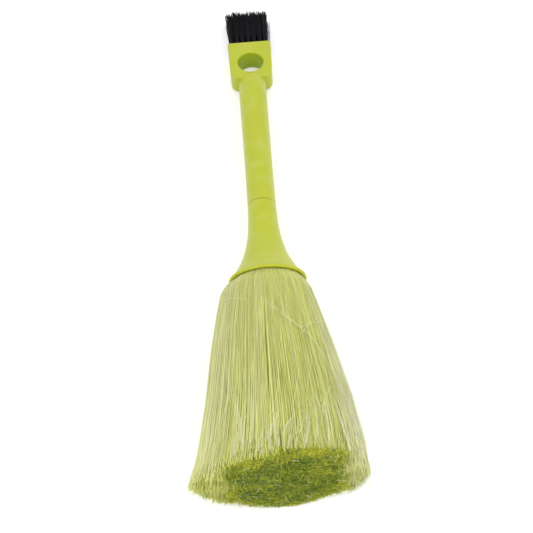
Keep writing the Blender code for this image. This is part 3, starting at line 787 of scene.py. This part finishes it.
# locks whose tips cross on the front, as lines of the same kind from root to tip
crossingLocks = (
    ((13.4, -86.7), (11.8, -93.7), (9.7, -101.1), (8.6, -105.8), (7.5, -110.5), (6.7, -114.5)),
    ((8.9, -91.0), (7.7, -94.4), (5.5, -98.8), (3.0, -102.5), (1.8, -106.6), (1.5, -113.4)),
    ((3.1, -84.8), (1.6, -88.6), (0.1, -91.3), (-1.5, -96.3), (-2.8, -100.6), (-5.6, -108.6)),
    ((-0.1, -92.9), (-0.9, -99.0), (-1.3, -105.2), (-1.1, -114.0)),
    ((20.9, -80.5), (22.0, -87.3), (22.6, -92.1), (23.0, -101.8), (22.7, -111.2)),
    ((15.5, -86.0), (14.7, -96.2), (13.0, -105.8), (10.8, -114.6)),
    ((-3.7, -93.6), (-4.9, -101.6), (-5.0, -111.0), (-4.9, -115.5)),
    ((-6.0, -99.2), (-8.2, -105.9), (-10.3, -111.7), (-12.1, -116.0)),
    ((7.1, -98.7), (6.0, -104.5), (4.5, -110.4), (3.2, -114.3)),
    ((-21.4, -74.0), (-19.9, -86.9), (-18.1, -101.3), (-17.7, -113.1)),
    ((-14.1, -79.5), (-16.2, -91.1), (-19.6, -103.2), (-22.0, -114.1)),
    ((26.8, -77.2), (29.1, -89.0), (31.2, -102.3), (32.6, -112.3)),
    ((17.7, -76.0), (17.3, -87.0), (18.1, -100.1), (16.6, -112.4)),
    ((-9.2, -69.7), (-11.4, -83.3), (-12.6, -97.9), (-14.8, -112.6)),
)

lock = {
    "strands": 13,
    "radius": 0.09 * mm,
    "width": 2.0 * mm,
    "tipSpread": 0.5,          # width at the tip, as a share of the root's
    "thickness": 1.1 * mm,
    "rootDepth": 1.5 * mm,     # how far in its roots lie
    "shift": (-5, 3),          # how far strands start apart along the lock, in millimetres
    "shiftLost": 0.7,          # share of that gone at the tip
    "tone": 0.31,
    "smoothing": 5,
}


def makeLooseFibres(material):
    lines = []
    for spots in looseFibres:
        points = [Vector((x * mm, -frontSurface(x, z) - loose["inFront"], z * mm)) for x, z in spots]
        lines.append(smoothLine(points, loose["smoothing"]))
    keepPiece(makeTubes("looseFibres", lines, loose["radius"], loose["tone"], material), "dusting_fibre")


def makeCrossingLocks(material):
    # a lock's strands come out of the bundle at their roots, lie on its front and draw together
    dice = random.Random(fibre["seed"])
    lines = []
    for spots in crossingLocks:
        for strand in range(lock["strands"]):
            first, last = dice.gauss(0, 1), dice.gauss(0, lock["tipSpread"])
            lift, shift = dice.uniform(0, 1), dice.uniform(*lock["shift"])
            points = []
            for place, (x, z) in enumerate(spots):
                along = place / (len(spots) - 1)
                x += (first + (last - first) * along) * lock["width"] / 2 / mm
                z += shift * (1 - lock["shiftLost"] * along)
                out = lift * lock["thickness"] - (1 - along) ** 3 * lock["rootDepth"]
                points.append(Vector((x * mm, -frontSurface(x, z) - out, z * mm)))
            lines.append(smoothLine(points, lock["smoothing"]))
    keepPiece(makeTubes("crossingLocks", lines, lock["radius"], lock["tone"], material), "dusting_fibre")


def makeFibres():
    material = makeFibreMaterial()
    rootHeight = glueEnd - hank["rootOut"]
    length = rootHeight - fibreEnd
    placed = placing(hank["sides"], fibre["tipRadius"], material)
    core = {**fibre, **placed, "strands": hank["coreStrands"], "points": hank["corePoints"],
            "sectorStart": 0.0, "sectorSweep": 2 * math.pi,
            "innerShare": 0.0, "outerShare": hank["coreShare"]}
    tree = makeFibreTree(core, rootHeight, length)
    hanksRound = len(hankNodes) - 1
    sweep = 2 * math.pi / hanksRound
    for number in range(1, hanksRound + 1):
        values = {**core, "strands": hank["strands"], "points": len(strandStops) + 2,
                  "sectorStart": sweep * (number - 1), "sectorSweep": sweep,
                  "innerShare": hank["coreShare"], "outerShare": 1.0, "seed": fibre["seed"] + 10 * number}
        keepPiece(growPiece(f"fibreHank{number}", tree, values), "dusting_fibre", f"fibre_hank_{number}")
    keepPiece(growPiece("fibreHankCore", tree, core), "dusting_fibre", "fibre_hank_core")
    values = {**fuzz, **placed}
    keepPiece(growPiece("cutEndFuzz", makeFuzzTree(values, rootHeight, length), values), "dusting_fibre")
    makeLooseFibres(material)
    makeCrossingLocks(material)
    print("fibres made")


makeFibres()


# small brush

brush = {
    "strands": 84,             # in a tuft
    "points": 5,
    "sides": 4,
    "radius": 0.13 * mm,
    "ragged": 3.0 * mm,
    "edge": 1.15,              # how far a tuft's round spread reaches over its sides
    "fanFrom": 0.18,           # shares of the length between which a tuft fans out
    "fanTo": 0.62,
    "bend": 1.2 * mm,
    "seed": 5,
}

# how the bristles of a tuft stand beside the CAD tuft they take the place of
tuft = {
    "rootPart": 3 * mm,        # how much of the CAD tuft counts as its root, and how much as its tips
    "tipPart": 4 * mm,
    "rootSpread": 0.85,        # root and tip spread, as shares of the CAD tuft's
    "tipSpread": 1.22,
    "rootUp": 0.4 * mm,        # how far over its lowest point the bristles start
    "leanAcross": -0.6 * mm,   # how far all tips lean across, to the left when below 0
    "drawnIn": 0.055,          # how far the tips draw together, as a share of a tuft's place across
    "slant": 0.07,             # how much longer the left side is
}

bristleLook = {
    "black": ((0.002, 0.002, 0.003, 1), (0.012, 0.012, 0.018, 1)),
    "blackRoughness": 0.6,
    "blackShine": 0.2,
    "pale": ((0.30, 0.30, 0.33, 1), (0.50, 0.50, 0.54, 1)),
    "paleRoughness": 0.4,
    "paleShine": 0.4,
    "paleRadius": 0.16 * mm,
    "paleSmoothing": 6,
}

# a few pale bristles at the right: across, backwards and up from the middle of the head's top
headTop = Vector((0, 0, headEnd))
paleBristles = (
    ((11.7, -2.5, -2.0), (12.1, -2.8, 8.0), (12.5, -3.2, 18.0)),
    ((12.0, -0.8, -2.0), (12.5, -0.9, 9.0), (12.1, -1.4, 21.0)),
    ((11.9, 1.2, -2.0), (12.4, 1.8, 10.0), (13.3, 2.4, 22.0)),
    ((12.1, -2.6, -2.0), (12.8, -3.2, 9.0), (13.4, -3.4, 17.0)),
    ((11.8, -1.4, -2.0), (12.0, -1.9, 9.0), (11.7, -3.0, 19.0)),
    ((12.1, -1.9, -2.0), (12.9, -2.1, 8.0), (13.2, -2.0, 21.0)),
    ((11.9, 0.4, -2.0), (12.2, 0.9, 8.0), (12.6, 0.6, 19.5)),
)


def makeBristleTree(values):
    tree, given = startTree("brushBristles", values)
    strands, number, share = startStrands(tree, given)
    seed = given["seed"]
    angle = number * (math.pi * (3 - math.sqrt(5)))
    reach = maths("SQRT", (number + 0.5) / given["strands"])
    fanned = smoothStep(share, given["fanFrom"], given["fanTo"])
    bent = share ** 3.0 * given["bend"]
    middle, lean = splitUp(given["middle"]), splitUp(given["lean"])
    place = []
    for i, (wave, tipHalf) in enumerate((("COSINE", "tipHalfWidth"), ("SINE", "tipHalfDepth"))):
        out = reach * maths(wave, angle) * given["edge"]
        straight = out * between(fanned, given["rootRadius"], given[tipHalf]) + middle[i] + lean[i] * share
        place.append(chance(number, seed + (1 + i), -1.0, 1.0) * bent + straight)
    height = given["length"] - chance(number, seed, 0.0, 1.0) * given["ragged"]
    place.append(share * height + given["rootHeight"])
    finishStrands(given, strands, place, given["radius"], chance(number, seed + 3, 0.01, 0.98))
    return tree


def makeBristleMaterial(name, colours, roughness, shine):
    material, tree, shader = startMaterial(name)
    colour = rampOf(mapOf(tree)[0], (0.0, colours[0]), (1.0, colours[1]))
    feed(shader, {"Base Color": colour, "Roughness": roughness, "Specular IOR Level": shine})
    return material


def tuftValues(number, node, placed):
    # the tree's values for one tuft, from the roots and tips of the CAD's
    places = placesOn(intoDuster, node)
    low, high = min(p.z for p in places), max(p.z for p in places)
    roots = [p for p in places if p.z < low + tuft["rootPart"]]
    tips = [p for p in places if p.z > high - tuft["tipPart"]]
    root, tip = [sum(part, Vector()) / len(part) for part in (roots, tips)]
    rootHalf, tipHalf = [(most - least) / 2 for least, most in (cornersOf(roots), cornersOf(tips))]
    leanAcross = tuft["leanAcross"] - tuft["drawnIn"] * root.x
    return {
        **brush, **placed, "rootRadius": rootHalf.x * tuft["rootSpread"],
        "tipHalfWidth": tipHalf.x * tuft["tipSpread"], "tipHalfDepth": tipHalf.y * tuft["tipSpread"],
        "rootHeight": low + tuft["rootUp"], "length": high - low - tuft["slant"] * root.x,
        "middle": tuple(root), "lean": tuple(tip - root + Vector((leanAcross, 0, 0))),
        "seed": brush["seed"] + 7 * number,
    }


def makeBrush():
    look = bristleLook
    black = makeBristleMaterial("blackBristle", look["black"], look["blackRoughness"], look["blackShine"])
    placed = placing(brush["sides"], brush["radius"], black)
    tufts = [tuftValues(number, node, placed) for number, node in enumerate(tuftNodes, 1)]
    tree = makeBristleTree(tufts[0])
    for number, (node, values) in enumerate(zip(tuftNodes, tufts), 1):
        keepPiece(growPiece(f"blackTuft{number:02d}", tree, values), "black_bristle", node)
    pale = makeBristleMaterial("paleBristle", look["pale"], look["paleRoughness"], look["paleShine"])
    lines = [smoothLine([headTop + Vector(spot) * mm for spot in line], look["paleSmoothing"])
             for line in paleBristles]
    keepPiece(makeTubes("paleBristles", lines, look["paleRadius"], 0.5, pale), "black_bristle")
    print("small brush made")


makeBrush()


# finishes of the pieces kept from the CAD

def srgb(red, green, blue):
    return tuple(((v / 255 + 0.055) / 1.055) ** 2.4 for v in (red, green, blue)) + (1.0,)


plastic = {
    "lime": srgb(188, 196, 46),
    "limeDeep": srgb(183, 192, 37),
    "limePale": srgb(194, 199, 84),
    "bead": srgb(191, 196, 36),
    # painted shade on the wall of the hanging hole
    "holeWallShade": srgb(173, 193, 0),
    "roughness": 0.36,
    "roughnessChange": 0.12,   # how much duller the handled patches are
    "mottle": 90.0,            # patches in a metre of surface: of colour, of dullness and of the grain
    "dullPatches": 207.0,
    "grain": 2600.0,
    "grainDepth": 0.02 * mm,
    "paleHeight": (30 * mm, 2 * mm),      # heights over the rim between which the bell grows paler
    "paleness": 0.6,
    "beadHeight": (1.8 * mm, 1.3 * mm),   # where the colours of the rim bead and of the painted shade on the hole's wall begin
    "holeRadius": (8.1 * mm, 7.6 * mm),   # and where they are full
}

steel = {
    "dark": (0.42, 0.42, 0.43, 1),
    "light": (0.62, 0.62, 0.62, 1),
    "roughness": 0.3,
    "streaks": 1800.0,
    "grain": 3000.0,
    "grainDepth": 0.01 * mm,
}

glue = {
    "dark": (0.60, 0.50, 0.24, 1),
    "light": (0.72, 0.64, 0.38, 1),
    "roughness": 0.25,
    "streaks": 400.0,
    "grain": 700.0,
    "grainDepth": 0.05 * mm,
}


def heightOverRim(place):
    away = vectorMaths("SUBTRACT", place, tuple(dusterPlace.translation))
    return vectorMaths("DOT_PRODUCT", away, tuple(alongWay), output="Value")


def insideHole(place):
    # 1 on the wall of the hanging hole, where the painted shade lies
    hole = mountNamed("hanging_hole")
    away = vectorMaths("SUBTRACT", place, tuple(hole["pos_m"]))
    crossed = vectorMaths("CROSS_PRODUCT", away, tuple(hole["axis"]))
    far = vectorMaths("LENGTH", crossed, output="Value")
    return stepOf(far, *plastic["holeRadius"])


def patchesAt(place, scale, detail):
    return newWire(place.tree, "ShaderNodeTexNoise", {"Vector": place, "Scale": scale, "Detail": detail})


def grainOf(place, finish):
    height = patchesAt(place, finish["grain"], 2.0)
    return newWire(place.tree, "ShaderNodeBump",
                   {"Height": height, "Distance": finish["grainDepth"], "Strength": 0.5})


def makePlasticMaterial():
    material, tree, shader = startMaterial("limePlastic")
    place = objectPlace(tree)
    patches = patchesAt(place, plastic["mottle"], 3.0)
    colour = rampOf(patches, (0.3, plastic["limeDeep"]), (0.5, plastic["lime"]), (0.75, plastic["limePale"]))
    height = heightOverRim(place)
    pale = stepOf(height, *plastic["paleHeight"], most=plastic["paleness"])
    colour = mixColour(pale, colour, plastic["limePale"])
    colour = mixColour(stepOf(height, *plastic["beadHeight"]), colour, plastic["bead"])
    # painted shade: the hanging hole's wall takes a darker, saturated colour
    colour = mixColour(insideHole(place), colour, plastic["holeWallShade"])
    dull = patchesAt(place, plastic["dullPatches"], 4.0)
    change = plastic["roughnessChange"]
    feed(shader, {"Base Color": colour, "Roughness": dull * change + (plastic["roughness"] - change / 2),
                  "Normal": grainOf(place, plastic)})
    return material


def makeStreakedMaterial(name, finish, metallic):
    material, tree, shader = startMaterial(name)
    place = objectPlace(tree)
    streaks = patchesAt(place, finish["streaks"], 2.0)
    feed(shader, {"Base Color": rampOf(streaks, (0.3, finish["dark"]), (0.7, finish["light"])),
                  "Roughness": finish["roughness"], "Metallic": metallic, "Normal": grainOf(place, finish)})
    return material


def finishKept():
    limePlastic = makePlasticMaterial()
    drawnSteel = makeStreakedMaterial("drawnSteel", steel, 1.0)
    setGlue = makeStreakedMaterial("setGlue", glue, 0.0)
    for name, node in frame["nodes"].items():
        if name in ("handle", "bell"):
            material = limePlastic
        elif name == "glue_bed":
            material = setGlue
        elif name == "binding_wire" or name.startswith("tuft_anchor_"):
            material = drawnSteel
        else:
            continue
        for slot in node.material_slots:
            slot.link = "OBJECT"
            slot.material = material
    print("finishes made")


finishKept()


# floor, light and camera

studio = {
    "lookAlong": 6.7 * mm,     # the camera looks at this height of the duster's axis, above the rim
    "distance": 745.6 * mm,
    "elevation": 58.3,         # degrees above level
    "roll": 4.5,               # degrees
    "focalPixels": 1400.0,
    "imagePixels": 533.0,
    "aimLeft": 0.5,            # how far that point lies from the picture's middle, in pixels
    "aimUp": 5.5,
    "sky": 0.77,               # light from all round
    "floorHalf": 3.0,
    "floorColour": (0.85, 0.85, 0.85, 1),
    "floorGlow": 0.38,         # how much brighter the camera sees the floor, without lighting the duster
    "lightPower": 3.3,         # watts
    "lightSize": 0.9,
    "keyPlace": (-0.5, -0.5, 1.1),
    "fillPlace": (0.7, -0.3, 1.0),
}


def makeCamera():
    data = bpy.data.cameras.new("camera")
    data.sensor_width = 36.0
    data.lens = data.sensor_width * studio["focalPixels"] / studio["imagePixels"]
    data.clip_start, data.clip_end = 0.01, 100
    camera = addObject("camera", data)
    elevation, roll = math.radians(studio["elevation"]), math.radians(studio["roll"])
    back = Vector((0, -math.cos(elevation), math.sin(elevation)))
    right = Vector((1, 0, 0))
    up = back.cross(right)
    rolledRight = right * math.cos(roll) - up * math.sin(roll)
    rolledUp = up * math.cos(roll) + right * math.sin(roll)
    target = dusterPlace @ Vector((0, 0, studio["lookAlong"]))
    scale = studio["distance"] / studio["focalPixels"]
    target += (rolledUp * studio["aimUp"] - rolledRight * studio["aimLeft"]) * scale
    turn = Matrix((rolledRight, rolledUp, back)).transposed().to_4x4()
    camera.matrix_world = Matrix.Translation(target + back * studio["distance"]) @ turn
    bpy.context.scene.camera = camera


def makeArea(name, place):
    data = bpy.data.lights.new(name, "AREA")
    data.shape = "DISK"
    data.size = studio["lightSize"]
    data.energy = studio["lightPower"]
    lamp = addObject(name, data)
    lamp.location = place
    lamp.rotation_euler = Vector(place).to_track_quat("Z", "Y").to_euler()


def seenShare(tree):
    # 1 for rays that see the background straight, mirrored or through something
    path = addNode(tree, "ShaderNodeLightPath")
    straight, mirrored, through = [Wire(path.outputs[f"Is {kind} Ray"])
                                   for kind in ("Camera", "Glossy", "Transmission")]
    return maths("MAXIMUM", maths("MAXIMUM", straight, mirrored), through)


def makeStudio():
    world = bpy.data.worlds.new("studio")
    bpy.context.scene.world = world
    world.use_nodes = True
    tree = world.node_tree
    feed(tree.nodes["Background"],
         {"Color": (1, 1, 1, 1), "Strength": between(seenShare(tree), studio["sky"], 1.0)})

    mesh = bpy.data.meshes.new("floor")
    half = studio["floorHalf"]
    mesh.from_pydata([(-half, -half, 0), (half, -half, 0), (half, half, 0), (-half, half, 0)], [],
                     [(0, 1, 2, 3)])
    material, tree, shader = startMaterial("paleFloor")
    feed(shader, {"Base Color": studio["floorColour"], "Roughness": 0.9, "Specular IOR Level": 0.0,
                  "Emission Color": (1, 1, 1, 1), "Emission Strength": seenShare(tree) * studio["floorGlow"]})
    mesh.materials.append(material)
    addObject("floor", mesh)
    makeArea("keyLight", studio["keyPlace"])
    makeArea("fillLight", studio["fillPlace"])


makeCamera()
makeStudio()
print("floor, light and camera made")

bpy.context.scene.view_settings.view_transform = "Standard"
